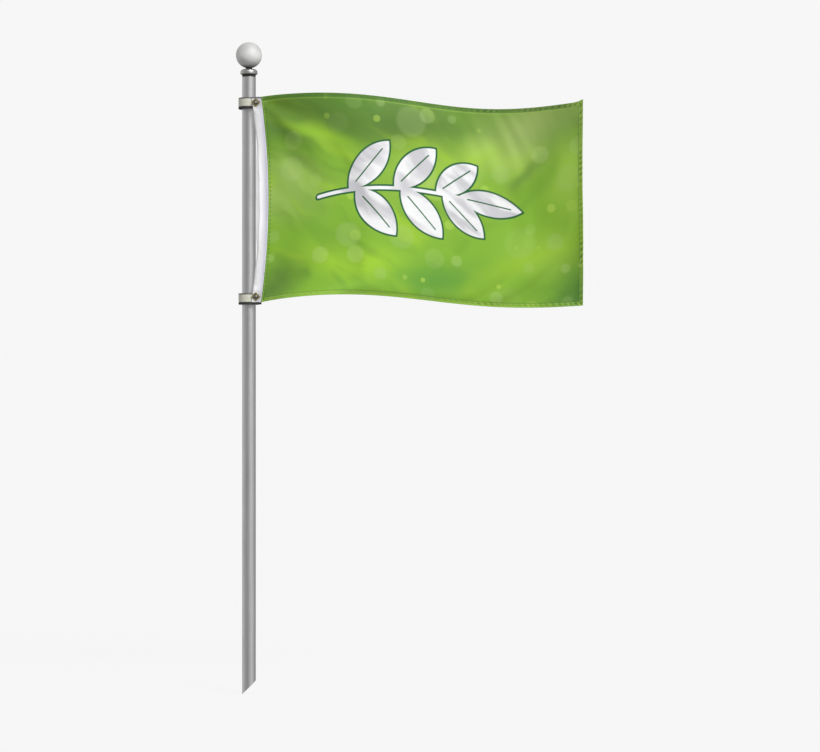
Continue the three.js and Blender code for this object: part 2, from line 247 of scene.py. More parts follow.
def satin_ball():
    """Spun and blasted ball: a satin, with painted shade that darkens its top, and painted shade that
    darkens it towards its mouth.
    """
    p = Paint("satin_ball", metallic=0.2)
    low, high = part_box("finial_ball")
    radius = (high.x - low.x) / 2
    rings = p.noise(p.where((0.03, 0.03, 1)), 520, 3, 0.6)
    grain = p.noise(p.where(), 2600, 1)
    clouds = p.noise(p.where(), 34, 4, 0.6)
    marks = p.ramp(p.noise(p.where(), 230, 3, 0.7), 0.66, 0.74)
    height = p.math("ADD", p.height(), p.times(clouds, 4 * MM))
    # painted shade: the satin turns from a lit tone to a shaded one towards the top
    painted_shade_top = p.ramp(height, low.z + 0.7 * radius, low.z + 1.6 * radius)
    # painted shade: the ball darkens towards its mouth, where it meets its neck
    mouth = p.ramp(height, low.z + 0.05 * radius, low.z + 0.32 * radius, 0.85, 0)
    lit_tone = p.mix(clouds, colour(228, 228, 226), colour(240, 240, 238))
    shaded_tone = p.mix(clouds, colour(184, 184, 183), colour(198, 198, 197))
    p.tone = p.mix(painted_shade_top, lit_tone, shaded_tone)
    p.tint(p.times(marks, 0.25), 120, 120, 120)
    p.tint(mouth, 58, 57, 56)
    surface = p.bump(rings, 0.08 * MM, 0.6, p.bump(grain, 0.03 * MM, 0.6))
    return p.finished(p.ramp(clouds, 0.3, 0.7, 0.58, 0.66), surface)


def dull_brass():
    """Stamped brass: brown tarnish in patches and bright worn spots."""
    p = Paint("dull_brass", metallic=1.0)
    patches = p.noise(p.where(), 300, 4, 0.65)
    wear = p.ramp(p.noise(p.where(), 900, 2), 0.6, 0.75)
    p.tone = p.mix(p.ramp(patches, 0.35, 0.65), colour(192, 184, 138), colour(128, 120, 84))
    p.tint(p.times(wear, 0.5), 228, 222, 188)
    return p.finished(p.ramp(patches, 0.35, 0.65, 0.28, 0.5), p.bump(patches, 0.12 * MM, 0.5))


def black_rubber():
    """Moulded rubber: fine grain, with grey dust on it."""
    p = Paint("black_rubber")
    grain = p.noise(p.where(), 2400, 2)
    dust = p.noise(p.where(), 120, 4, 0.7)
    p.tone = p.mix(p.ramp(dust, 0.45, 0.75, 0, 0.5), colour(46, 45, 44), colour(96, 94, 90))
    return p.finished(p.ramp(dust, 0.3, 0.7, 0.6, 0.85), p.bump(grain, 0.08 * MM, 0.6))


def ivory_nylon():
    """Moulded nylon: spark texture, flow marks, specks, and painted shade along its upper rim, broken
    up by the specks.
    """
    p = Paint("ivory_nylon", subsurface_weight=0.1, subsurface_scale=2 * MM)
    low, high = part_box("upper_swivel_ring")
    top = (high.z - low.z) / 2
    texture = p.noise(p.where(), 1500, 3, 0.6)
    flow = p.noise(p.where((1, 1, 3)), 26, 3, 0.6)
    specks = p.noise(p.where(), 260, 5, 0.7)
    # painted shade: a dark line along the ring's upper rim
    rim = p.ramp(p.height(), top - 4.6 * MM, top - 3.2 * MM, 0, 0.95)
    p.tone = p.mix(flow, colour(206, 206, 188), colour(228, 228, 212))
    p.tint(p.ramp(specks, 0.58, 0.78, 0, 0.4), 146, 143, 122)
    p.tint(p.times(rim, p.ramp(specks, 0.2, 0.5, 0.6, 1)), 78, 78, 76)
    return p.finished(p.ramp(flow, 0.3, 0.7, 0.36, 0.5), p.bump(texture, 0.1 * MM, 0.45))


def thread(name, *shade):
    """Twisted thread: short diagonal ridges."""
    p = Paint(name, sheen_weight=0.3)
    twist = p.noise(p.where((1, 1, 0.6)), 1800, 2)
    light = colour(*shade)
    p.tone = p.mix(twist, (*(0.55 * c for c in light[:3]), 1), light)
    return p.finished(0.7, p.bump(twist, 0.2 * MM, 0.8))


# ---- cloths


def weave(p, pitch, depth, under):
    """A plain weave in the cloth's own plane: threads over and under one another."""
    along, up = p.parts(p.scale(p.flat(), math.pi / pitch))
    over = p.times(p.math("SINE", along), p.math("SINE", up))
    slubs = p.noise(p.flat(), 0.25 / pitch, 2)
    return p.bump(p.math("ADD", over, slubs), depth, 0.5, under)


def white_canvas():
    """Header canvas: white on the pole's side, with painted shade in lavender towards the cloth's,
    painted shade in its creases and at its upper end, and soiled at its eyelets.
    """
    p = Paint("white_canvas", sheen_weight=0.2, sheen_roughness=0.5)
    p.set(subsurface_weight=0.5, subsurface_scale=3 * MM, subsurface_radius=(1, 1, 1))
    across, up = p.parts(p.flat())
    # painted shade: the tape turns lavender grey towards the cloth's side
    painted_side_shade = p.ramp(across, 12 * MM, HEADER_WIDTH)
    p.tone = p.mix(painted_side_shade, colour(253, 253, 254), colour(218, 216, 233))
    creases = p.noise(p.vector("MULTIPLY", p.flat(), (3, 0.6, 1)), 26, 4, 0.6)
    # painted shade in the canvas's soft creases, which also bump it
    p.tint(p.ramp(creases, 0.5, 0.75, 0, 0.25), 200, 199, 212)
    # painted shade along the sewn crease
    p.tint(p.times(p.drawn_on("crease"), 0.75), 146, 146, 152)
    grime = p.noise(p.flat(), 70, 5, 0.7)
    for side in (1, -1):
        eyelet = (HEADER_WIDTH / 2, (HEADER_HEIGHT + side * EYELET_SPACING) / 2, 0)
        near = p.ramp(p.vector("DISTANCE", p.flat(), eyelet, output=1), 11 * MM, 26 * MM, 0.6, 0)
        p.tint(p.times(near, grime), 150, 140, 120)
    # painted shadow along the tape's upper end
    painted_top_shadow = p.ramp(up, HEADER_HEIGHT - 6 * MM, HEADER_HEIGHT - 4 * MM, 0, 0.9)
    p.tint(painted_top_shadow, 88, 86, 100)
    return p.finished(0.88, weave(p, 0.9 * MM, 0.12 * MM, p.bump(creases, 0.6 * MM, 0.5)))


# The emblem: a sprig. Each leaf is its base, its direction in degrees, its length and half width.
SPRIG_CENTRE = (0.462, 0.3)
STEM = (-0.30, 0.14)  # its two ends, to the left and right of the sprig's centre
STEM_CURVE = 0.42
STEM_LIFT = 0.03
LEAVES = (
    (-0.205, 50, 0.185, 0.042),
    (-0.185, -50, 0.185, 0.042),
    (-0.07, 46, 0.185, 0.043),
    (-0.05, -46, 0.185, 0.043),
    (0.06, 40, 0.165, 0.039),
    (0.08, -40, 0.165, 0.039),
    (0.125, 0, 0.195, 0.036),
)
EMBLEM_OUTLINE = 5.5 * MM
STEM_WIDTH = 10 * MM
VEIN_WIDTH = 4 * MM
VEIN_REACH = 0.34  # of the leaf's length, each way from its middle
INK_BLUR = 0.5 * MM


def leaf_distance(p, x, y, base, turn, length, half_width):
    """Distance to a leaf's outline and to its vein, below 0 inside them.

    The leaf is the lens where two circles overlap.
    """
    c, s = math.cos(math.radians(turn)), math.sin(math.radians(turn))
    from_base = p.minus(x, base)
    along = p.math("ADD", p.times(from_base, c), p.math("MULTIPLY_ADD", y, s, -length / 2))
    across = p.minus(p.times(y, c), p.times(from_base, s))
    radius = ((length / 2) ** 2 + half_width**2) / (2 * half_width)
    aside = p.math("ABSOLUTE", across)
    to_arc = p.length(along, p.math("ADD", aside, radius - half_width))
    past_vein = p.minus(p.math("ABSOLUTE", along), VEIN_REACH * length)
    vein = p.math("MAXIMUM", p.minus(aside, VEIN_WIDTH / 2), past_vein)
    return p.minus(to_arc, radius), vein


def sprig(p, shading):
    """Draws the emblem over the tone: white leaves and stem with a dark green outline and veins."""
    x, level = p.parts(p.vector("SUBTRACT", p.flat(), (*SPRIG_CENTRE, 0)))
    curve = p.times(p.times(x, x), STEM_CURVE)
    y = p.minus(p.math("ADD", level, curve), STEM_LIFT)
    off_middle = p.math("ABSOLUTE", p.minus(x, (STEM[0] + STEM[1]) / 2))
    past_end = p.math("MAXIMUM", p.minus(off_middle, (STEM[1] - STEM[0]) / 2), 0.0)
    shape = p.minus(p.length(past_end, y), STEM_WIDTH / 2)
    veins = 1.0
    for leaf in LEAVES:
        outline, vein = leaf_distance(p, x, y, *leaf)
        shape = p.math("MINIMUM", shape, outline)
        veins = p.math("MINIMUM", veins, vein)
    dark = (14, 98, 50)
    white = p.mix(shading, colour(246, 246, 248), colour(204, 203, 208))
    p.tint(p.ramp(shape, EMBLEM_OUTLINE - INK_BLUR, EMBLEM_OUTLINE + INK_BLUR, 1, 0), *dark)
    p.tone = p.mix(p.ramp(shape, -INK_BLUR, INK_BLUR, 1, 0), p.tone, white)
    p.tint(p.ramp(veins, -INK_BLUR, INK_BLUR, 1, 0), *dark)


def light_discs(p, scale, share, strength, *shade):
    """Out-of-focus discs of light, one in some cells of a scattered pattern."""
    inputs = {"Vector": p.flat(), "Scale": scale, "Randomness": 0.85}
    distance = p.add("TexVoronoi", inputs, "Distance", voronoi_dimensions="2D")
    room = p.add("TexVoronoi", inputs, "Radius", voronoi_dimensions="2D", feature="N_SPHERE_RADIUS")
    pick = p.add("SeparateColor", {0: distance.node.outputs["Color"]})
    chosen, strong = pick.node.outputs[1], pick.node.outputs[2]
    size = p.math("MINIMUM", p.ramp(pick, 0, 1, 0.14, 0.34), room)
    disc = p.ramp(p.minus(distance, size), -0.08, 0, 1, 0)
    shown = p.times(p.math("LESS_THAN", chosen, share), p.ramp(strong, 0, 1, 0.4, 1))
    p.tint(p.times(p.times(disc, shown), strength), *shade)


# The print's large patches, under its streaks and over them. Each is its middle and its size on
# the flat cloth, its turn in degrees, its strength and its colour.
UNDER_STREAKS = (
    ((0.50, 0.36), (0.34, 0.20), 0, 0.7, (160, 198, 66)),
    ((0.06, 0.32), (0.20, 0.13), 0, 0.85, (172, 202, 104)),
    ((0.26, 0.11), (0.24, 0.10), 0, 0.9, (166, 212, 44)),
    ((0.74, 0.46), (0.20, 0.10), 0, 0.9, (194, 226, 100)),
    ((0.94, 0.37), (0.14, 0.18), 0, 0.85, (164, 208, 70)),
    ((0.86, 0.17), (0.22, 0.13), 0, 0.8, (158, 202, 62)),
)
OVER_STREAKS = (
    ((0.08, 0.54), (0.34, 0.13), -8, 0.75, (86, 128, 48)),
    ((0.42, 0.52), (0.28, 0.12), 0, 0.85, (86, 124, 44)),
    ((0.53, 0.06), (0.25, 0.11), 0, 0.75, (84, 151, 50)),
    ((0.02, 0.05), (0.12, 0.13), 0, 0.7, (78, 118, 46)),
    ((0.99, 0.06), (0.25, 0.19), 20, 0.85, (64, 124, 52)),
    ((0.83, 0.55), (0.28, 0.13), 8, 0.85, (166, 190, 104)),
    ((0.79, 0.41), (0.13, 0.03), 36, 0.6, (104, 142, 52)),
    ((0.93, 0.40), (0.07, 0.15), -20, 0.8, (166, 206, 76)),
    ((0.10, 0.395), (0.17, 0.035), -27, 0.5, (102, 138, 50)),
    ((0.18, 0.475), (0.21, 0.04), -27, 0.95, (150, 196, 44)),
)


def patched(p, place, patches):
    """Lays soft ovals over the tone. Each fades from its middle to nothing at its rim."""
    for middle, size, turn, strength, shade in patches:
        away = p.vector("SUBTRACT", place, (*middle, 0))
        if turn:
            away = p.rotated(away, -turn)
        reach = p.vector("LENGTH", p.vector("DIVIDE", away, (*size, 1)), output=1)
        p.tint(p.times(p.ramp(reach, 0, 1, 1, 0), strength), *shade)


def streaks(p, place, turn, pitch):
    """Soft streaks across the cloth: it turns the streaks by that many degrees."""
    return p.noise(p.vector("MULTIPLY", p.rotated(place, turn), (0.3, 1, 1)), pitch, 2, 0.4)


def crossing_streaks(p, place, pitch, to_fly):
    """Streaks that fall away from the header, and rise again to the fly, broader there."""
    falling = streaks(p, place, 32, pitch)
    rising = streaks(p, place, -36, 0.55 * pitch)
    return p.math("MULTIPLY_ADD", to_fly, p.minus(rising, falling), falling)


def printed_cloth():
    """The print: leaf-green light and shade with soft discs, broad streaks, and an emblem."""
    p = Paint("printed_cloth", sheen_weight=0.03, sheen_roughness=0.4, specular_ior_level=0.25)
    p.set(subsurface_weight=0.3, subsurface_scale=1 * MM, subsurface_radius=(1, 1, 1))
    flat = p.flat()
    swirl = p.vector("SUBTRACT", p.noise(flat, 2.6, 3, 0.5, "Color"), (0.5, 0.5, 0.5))
    bent = p.vector("ADD", flat, p.scale(swirl, 0.22))
    along, up = p.parts(flat)
    p.tone = p.mix(p.ramp(up, 0.36, 0.54), colour(134, 184, 46), colour(104, 148, 40))
    patched(p, bent, UNDER_STREAKS)
    to_fly = p.ramp(along, 0.45, 0.75)
    broad = crossing_streaks(p, bent, 6, to_fly)
    narrow = crossing_streaks(p, bent, 13, to_fly)
    p.tint(p.ramp(broad, 0.5, 0.57, 0, 0.3), 100, 152, 40)
    p.tint(p.ramp(narrow, 0.54, 0.72, 0, 0.6), 164, 206, 44)
    p.tint(p.ramp(narrow, 0.46, 0.28, 0, 0.5), 84, 134, 40)
    patched(p, bent, OVER_STREAKS)
    light_discs(p, 6, 0.5, 0.17, 186, 208, 140)
    light_discs(p, 9, 0.3, 0.23, 196, 220, 140)
    light_discs(p, 17, 0.09, 0.5, 190, 222, 90)
    sprig(p, p.ramp(streaks(p, bent, 32, 20), 0.42, 0.64))
    # painted shade along the top hem
    p.tint(p.times(p.drawn_on("hem"), 0.6), 66, 112, 34)
    # painted shadow along each hem's inner edge
    p.tint(p.times(p.drawn_on("hem_edge_shadow"), 0.55), 54, 100, 36)
    p.tint(p.times(p.drawn_on("hem_gleam"), 0.4), 168, 206, 84)
    # painted shade in the puckers' dips along the stitches
    p.tint(p.times(p.drawn_on("pucker"), 0.85), 36, 70, 22)
    off_seam = p.math("ABSOLUTE", p.minus(along, 4 * MM))
    # painted shadow beside the header's edge
    p.tint(p.ramp(along, 1.5 * MM, 3 * MM, 0.5, 0), 58, 92, 44)
    p.tint(p.ramp(off_seam, 0.6 * MM, 2 * MM, 0.5, 0), 158, 204, 78)
    wear = p.noise(flat, 420, 3, 0.6)
    p.tint(p.ramp(wear, 0.3, 0.8, 0, 0.05), 240, 246, 226)
    creases = p.noise(p.vector("MULTIPLY", bent, (1, 1.6, 1)), 11, 4, 0.5)
    surface = weave(p, 0.5 * MM, 0.05 * MM, p.bump(creases, 1.2 * MM, 0.4))
    return p.finished(p.ramp(creases, 0.3, 0.7, 0.56, 0.7), surface)


FINISHES = {
    "pole_aluminium": drawn_aluminium(),
    "collar_aluminium": turned_metal("collar_metal", (170, 170, 168), (206, 206, 203), 0.36),
    # painted shade: the neck's metal is toned dark for the shade under the ball
    "neck_aluminium": turned_metal("neck_metal_painted_shade", (62, 62, 64), (92, 92, 94), 0.42),
    "ball_aluminium": satin_ball(),
    "steel": turned_metal("bright_steel", (196, 196, 198), (226, 226, 228), 0.24, 0.4 * MM),
    "brass": dull_brass(),
    "black_rubber": black_rubber(),
    "ivory_nylon": ivory_nylon(),
    "white_canvas": white_canvas(),
    "printed_polyester": printed_cloth(),
}

# ---- mesh tools


def in_scene(name, mesh, slot, body=None, finish=None, at=(0, 0, 0)):
    """Puts a finished mesh in the scene, on its body. One that crosses a joint is given none here."""
    mesh.name = name
    mesh.materials.clear()
    mesh.materials.append(finish or FINISHES[slot])
    piece = bpy.data.objects.new(name, mesh)
    piece.location = at
    bpy.context.scene.collection.objects.link(piece)
    if body is not None:
        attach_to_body(piece, body)
    return piece


def new_piece(name, mesh, node, finish=None, at=(0, 0, 0)):
    """Puts a finished mesh in the scene in place of the frame's node, on its body."""
    piece = in_scene(name, mesh, SLOTS[node], BODIES[node], finish, at)
    level_normals(piece)
    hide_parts(node)
    return piece


def level_normals(piece):
    """Keeps flat and long faces flat in their shading, next to small rounded edges."""
    level = piece.modifiers.new("level", "WEIGHTED_NORMAL")
    level.keep_sharp = True


def smooth(mesh, degrees=35):
    mesh.shade_smooth()
    mesh.set_sharp_from_angle(angle=math.radians(degrees))
    return mesh


WELD = 1e-6  # vertices closer than this are one


def cleaned(mesh, gap=WELD):
    """Merges doubled vertices, unless the gap is 0, and turns every face outwards."""
    work = bmesh.new()
    work.from_mesh(mesh)
    if gap:
        bmesh.ops.remove_doubles(work, verts=work.verts, dist=gap)
    bmesh.ops.recalc_face_normals(work, faces=work.faces)
    work.to_mesh(mesh)
    work.free()
    return mesh


def mesh_of(vertices, faces):
    mesh = bpy.data.meshes.new("made")
    mesh.from_pydata([tuple(v) for v in vertices], [], [tuple(f) for f in faces])
    return mesh


def arc(radius, start, end, steps, x=0.0, y=0.0):
    """Points along an arc round (x, y), its start and its end among them."""
    turns = (start + (end - start) * i / steps for i in range(steps + 1))
    return [(x + radius * math.cos(t), y + radius * math.sin(t)) for t in turns]


def circle(radius, sides=96):
    return arc(radius, 0, 2 * math.pi, sides)[:-1]


def rounded(corners, steps=5):
    """A closed outline through corners (x, y, radius), with an arc of that radius at each."""
    points = []
    for i, (x, y, radius) in enumerate(corners):
        here = Vector((x, y))
        if radius == 0:
            points.append(here)
            continue
        before = (Vector(corners[i - 1][:2]) - here).normalized()
        after = (Vector(corners[(i + 1) % len(corners)][:2]) - here).normalized()
        half = before.angle(after) / 2
        centre = here + (before + after).normalized() * radius / math.sin(half)
        first = here + before * radius / math.tan(half) - centre
        last = here + after * radius / math.tan(half) - centre
        for step in range(steps + 1):
            points.append(centre + first.lerp(last, step / steps).normalized() * radius)
    return [(p.x, p.y) for p in points]


def turned(outline, sides=96):
    """A closed outline of (radius, height), turned about the pole's axis."""
    count = len(outline)
    vertices, faces = [], []
    for side in range(sides):
        turn = 2 * math.pi * side / sides
        vertices += [(r * math.cos(turn), r * math.sin(turn), z) for r, z in outline]
        here, there = side * count, (side + 1) % sides * count
        for i in range(count):
            j = (i + 1) % count
            faces.append((here + i, there + i, there + j, here + j))
    return smooth(cleaned(mesh_of(vertices, faces)))


def flat_ring(bore, radius, height, lip=0.0, sides=64):
    """A flat ring that stands on z = 0. Its outer edges are rounded by the radius lip."""
    corners = ((bore, 0, 0), (radius, 0, lip), (radius, height, lip), (bore, height, 0))
    return turned(rounded(corners), sides)


def plate(outlines, height, edge, edge_steps=3):
    """A flat plate with rounded rims. The first outline is its rim, and any others are holes."""
    curve = bpy.data.curves.new("plate", "CURVE")
    curve.dimensions = "2D"
    curve.fill_mode = "BOTH"
    curve.extrude = height / 2 - edge
    curve.bevel_depth = edge
    curve.bevel_resolution = edge_steps
    curve.offset = -edge
    for outline in outlines:
        spline = curve.splines.new("POLY")
        spline.points.add(len(outline) - 1)
        spline.points.foreach_set("co", [c for x, y in outline for c in (x, y, 0, 1)])
        spline.use_cyclic_u = True
    shaped = bpy.data.objects.new("plate", curve)
    mesh = bpy.data.meshes.new_from_object(shaped)
    bpy.data.objects.remove(shaped)
    return smooth(cleaned(mesh, 10 * WELD))


def carved(mesh, *cutters):
    """The mesh with each cutter's shape taken out of it."""
    holder = bpy.data.objects.new("carved", mesh)
    bpy.context.scene.collection.objects.link(holder)
    tools = []
    for i, cutter in enumerate(cutters):
        tool = bpy.data.objects.new(f"cutter_{i}", cutter)
        bpy.context.scene.collection.objects.link(tool)
        tool.hide_render = True
        modifier = holder.modifiers.new(f"cut_{i}", "BOOLEAN")
        modifier.operation = "DIFFERENCE"
        modifier.object = tool
        tools.append(tool)
    seen = holder.evaluated_get(bpy.context.evaluated_depsgraph_get())
    made = bpy.data.meshes.new_from_object(seen)
    for item in (holder, *tools):
        bpy.data.objects.remove(item)
    return smooth(made)


def rod(radius, length, sides, at, turn=Matrix.Identity(3)):
    """A cylinder along +Z from the point at, turned by the matrix turn."""
    work = bmesh.new()
    ends = {"radius1": radius, "radius2": radius, "depth": length}
    bmesh.ops.create_cone(work, cap_ends=True, segments=sides, **ends)
    bmesh.ops.translate(work, verts=work.verts, vec=(0, 0, length / 2))
    bmesh.ops.rotate(work, verts=work.verts, matrix=turn)
    bmesh.ops.translate(work, verts=work.verts, vec=at)
    mesh = bpy.data.meshes.new("rod")
    work.to_mesh(mesh)
    work.free()
    return mesh


FACE_FRONT = Matrix.Rotation(math.pi / 2, 3, "X")  # turns +Z to -Y


def facing_front(mesh, x, y, z):
    """Turns a piece made round +Z to face -Y, with its origin at (x, y, z)."""
    mesh.transform(Matrix.Translation((x, y, z)) @ FACE_FRONT.to_4x4())
    return mesh


# ---- pole and finial

STUD_BORE = 5.3 * MM
HEXAGON = 1.45 * MM  # from the middle of a socket to its corners


def soften_kept_nodes():
    """The frame's tube, plug, pins and studs keep their shapes, and get softened edges."""
    kept = ["pole_tube", "top_plug", "finial_stud"]
    for end in ("upper", "lower"):
        kept += [f"{end}_stop_pin", f"{end}_threaded_insert", f"{end}_eyelet_back"]
    for node in kept:
        piece = frame["nodes"][node]
        piece.data.materials.clear()
        piece.data.materials.append(FINISHES[SLOTS[node]])
        weld = piece.modifiers.new("weld", "WELD")
        weld.merge_threshold = WELD
        soften = piece.modifiers.new("soften", "BEVEL")
        soften.width = 0.25 * MM
        soften.segments = 2
        soften.limit_method = "ANGLE"
        soften.angle_limit = math.radians(40)
        smooth(piece.data)
        level_normals(piece)


def build_plug_screws():
    """Grub screws with hexagon sockets, in the frame's screws' places at the back of the pole."""
    radius, length, edge = 2.5 * MM, 5.5 * MM, 0.4 * MM
    sunk, socket_depth = 0.5 * MM, 2.5 * MM
    outline = rounded(((0, 0, 0), (radius, 0, edge), (radius, length, edge), (0, length, 0)))
    for node in ("plug_screw_left", "plug_screw_right"):
        centre = centre_of(node)
        axis = Vector((0, 0, centre.z))
        outward = Vector((centre.x, centre.y, 0)).normalized()
        turn = outward.to_track_quat("Z", "Y").to_matrix()
        head = POLE_RADIUS - sunk
        screw = turned(outline, 32)
        screw.transform(turn.to_4x4())
        screw.transform(Matrix.Translation(outward * (head - length) + axis))
        socket = rod(HEXAGON, 4 * MM, 6, outward * (head - socket_depth) + axis, turn)
        new_piece(f"{node}_socket", carved(screw, socket), node)


def build_seal():
    """A rubber ring with a lip above and below its waist."""
    low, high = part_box("seal_ring")
    lip, waist = POLE_RADIUS + 0.2 * MM, POLE_RADIUS - 0.4 * MM
    outline = rounded(
        (
            (STUD_BORE, low.z, 0),
            (lip, low.z, 0.9 * MM),
            (waist, (low.z + high.z) / 2, 1.5 * MM),
            (lip, high.z, 0.9 * MM),
            (STUD_BORE, high.z, 0),
        )
    )
    new_piece("seal_ring_lipped", turned(outline), "seal_ring")


def build_collar():
    """A collar with a full bullnose rim, relieved a little where it meets the seal and the neck."""
    low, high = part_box("finial_collar")
    rim, relief, crisp = high.x, 0.3 * MM, 0.1 * MM
    lower_nose, upper_nose = 2.6 * MM, 8.5 * MM
    land, shoulder = rim - 6.2 * MM, rim - 9 * MM
    outline = rounded(
        (
            (STUD_BORE, low.z, 0),
            (land, low.z, 0),
            (land, low.z + relief, crisp),
            (rim, low.z + relief, lower_nose),
            (rim, high.z - relief, upper_nose),
            (shoulder, high.z - relief, crisp),
            (shoulder, high.z, crisp),
            (STUD_BORE, high.z, 0),
        ),
        10,
    )
    new_piece("finial_collar_turned", turned(outline), "finial_collar")


def build_neck():
    """The dark bush that the ball sits on, grooved where it shows. Its metal is toned dark as painted
    shade under the ball.
    """
    low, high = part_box("finial_bush")
    radius, roof, edge = high.x, high.z - 4 * MM, 0.2 * MM
    floor = radius - 0.9 * MM
    outline = rounded(
        (
            (STUD_BORE, low.z, 0),
            (radius, low.z, 0.5 * MM),
            (radius, low.z + 1.2 * MM, edge),
            (floor, low.z + 1.6 * MM, edge),
            (floor, low.z + 2.4 * MM, edge),
            (radius, low.z + 2.8 * MM, edge),
            (radius, high.z, 1.0 * MM),
            (0, high.z, 0),
            (0, roof, 0),
            (STUD_BORE, roof, 0),
        )
    )
    new_piece("finial_neck", turned(outline, 64), "finial_bush")


def build_ball():
    """A hollow ball, rolled in to a lip round its neck, with a faint seam at its middle."""
    low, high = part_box("finial_ball")
    radius = (high.x - low.x) / 2
    centre = high.z - radius
    mouth, wall, lip, steps = 10.4 * MM, 1.5 * MM, 0.3 * MM, 72
    seam, seam_width = 0.12 * MM, 0.5 * MM
    outer = []
    for r, z in arc(radius, -math.acos(mouth / radius), math.pi / 2, steps):
        size = 1 - seam / radius * math.exp(-((math.atan2(z, r) * radius / seam_width) ** 2))
        outer.append((r * size, centre + z * size))
    inside = radius - wall
    inner = arc(inside, math.pi / 2, -math.acos(mouth / inside), steps, y=centre)
    rolled = (mouth - lip, (outer[0][1] + inner[-1][1]) / 2)
    new_piece("finial_ball_spun", turned([rolled, *outer, *inner], 128), "finial_ball")


# ---- swivel rings and their hardware

EAR_THICKNESS = 10 * MM
EAR_CORNER = 2 * MM
RING_BORE = POLE_RADIUS + 1 * MM


def moulding(node, edge):
    """A ring with a flat ear that reaches to +X along the ring's front. Its middle is at z = 0."""
    low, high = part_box(node)
    radius, tip, face = high.y, high.x, low.y
    back = face + EAR_THICKNESS
    corner_x, quarter = tip - EAR_CORNER, math.pi / 2
    outline = arc(EAR_CORNER, -quarter, 0, 6, corner_x, face + EAR_CORNER)
    outline += arc(EAR_CORNER, 0, quarter, 6, corner_x, back - EAR_CORNER)
    outline += arc(radius, math.asin(back / radius), 3 * quarter, 84)
    return plate([outline, circle(RING_BORE)], high.z - low.z, edge)


def build_ring(end):
    """A moulded ring with a parting line, and the hole for its insert."""
    node = f"{end}_swivel_ring"
    low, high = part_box(node)
    middle = centre_of(node).z
    line = 0.25 * MM  # half the parting line's width, and its depth
    inside, outside = high.y - line, high.y + 2 * MM
    parting_line = turned([(inside, -line), (outside, -line), (outside, line), (inside, line)])
    hole_radius, hole_depth, clear = 4.3 * MM, 7.6 * MM, 1 * MM
    start = (EYELETS[end].x, low.y + hole_depth, EYELETS[end].z - middle)
    hole = rod(hole_radius, hole_depth + clear, 48, start, FACE_FRONT)
    ring = carved(moulding(node, 1.3 * MM), hole, parting_line)
    new_piece(f"{end}_ring_moulded", ring, node, at=(0, 0, middle))


def build_shoe(end):
    """The rubber shoe under a ring. It is hollow below, where it covers its stop pin."""
    node = f"{end}_glide_shoe"
    shoe = moulding(node, 0.7 * MM)
    shoe.transform(Matrix.Translation((0, 0, centre_of(node).z)))
    pocket_radius, depth, roof = 25 * MM, 6 * MM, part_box(node)[1].z - 1.6 * MM
    pocket = rod(pocket_radius, depth, 96, (0, 0, roof - depth))
    new_piece(f"{end}_shoe_moulded", carved(shoe, pocket), node)


def build_eyelet(end, turn):
    """A stamped brass lozenge, turned by that many degrees, with a raised rim and a short barrel."""
    node = f"{end}_eyelet_front"
    centre, face, back = EYELETS[end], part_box(node)[0].y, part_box(node)[1].y
    half, corner, thickness, bore = 10 * MM, 5 * MM, 1.2 * MM, 2.4 * MM
    turns = [math.radians(turn + 90 * i - 135) for i in range(4)]
    reach = half * math.sqrt(2)
    lozenge = rounded([(reach * math.cos(t), reach * math.sin(t), corner) for t in turns], 8)
    stamped = plate([lozenge, circle(bore, 48)], thickness, 0.5 * MM, 4)
    facing_front(stamped, centre.x, face + thickness / 2, centre.z)
    barrel = flat_ring(bore, 3.2 * MM, 2.4 * MM, sides=48)
    facing_front(barrel, centre.x, back, centre.z)
    rise, edge, sunk = 0.55 * MM, 0.3 * MM, 0.05 * MM
    rim_corners = ((6.4 * MM, 0, 0), (7.9 * MM, 0, 0), (7.6 * MM, rise, edge), (6.7 * MM, rise, edge))
    rim = turned(rounded(rim_corners, 4), 64)
    facing_front(rim, centre.x, face + sunk, centre.z)
    joined = bmesh.new()
    for mesh in (stamped, barrel, rim):
        joined.from_mesh(mesh)
    joined.to_mesh(stamped)
    joined.free()
    new_piece(f"{end}_eyelet_stamped", smooth(stamped), node)


def build_washer(end):
    """The rubber washer between an eyelet and its screw's head. It is drawn in a little."""
    node = f"{end}_rubber_washer"
    low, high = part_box(node)
    radius = (high.x - low.x) / 2 - 0.6 * MM
    washer = flat_ring(2.3 * MM, radius, high.y - low.y, 0.35 * MM)
    facing_front(washer, EYELETS[end].x, high.y, EYELETS[end].z)
    new_piece(f"{end}_washer", washer, node)


OILED_STEEL = turned_metal("oiled_steel", (150, 149, 146), (184, 183, 180), 0.36, 0.4 * MM)


def build_header_screw(end):
    """A screw with a domed head and a hexagon socket, which holds the header to its ring."""
    node = f"{end}_header_screw"
    low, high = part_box(node)
    centre = EYELETS[end]
    head, shank, dome, chamfer = (high.x - low.x) / 2, 2 * MM, 2.4 * MM, 0.5 * MM
    length = high.y - low.y - dome
    outline = [(0, -length), (shank - chamfer, -length), (shank, -length + chamfer), (shank, 0)]
    outline += [(r, z * dome / head) for r, z in arc(head, 0, math.pi / 2, 10)]
    screw = facing_front(turned(outline, 48), centre.x, high.y - length, centre.z)
    depth = 1.5 * MM
    socket = rod(HEXAGON, 2 * depth, 6, (centre.x, low.y + depth, centre.z), FACE_FRONT)
    new_piece(f"{end}_screw", carved(screw, socket), node, OILED_STEEL)


# ---- the cloth's shape


def wave_angle(x):
    return 2 * np.pi * (x - NEAR_X) / WAVE_LENGTH


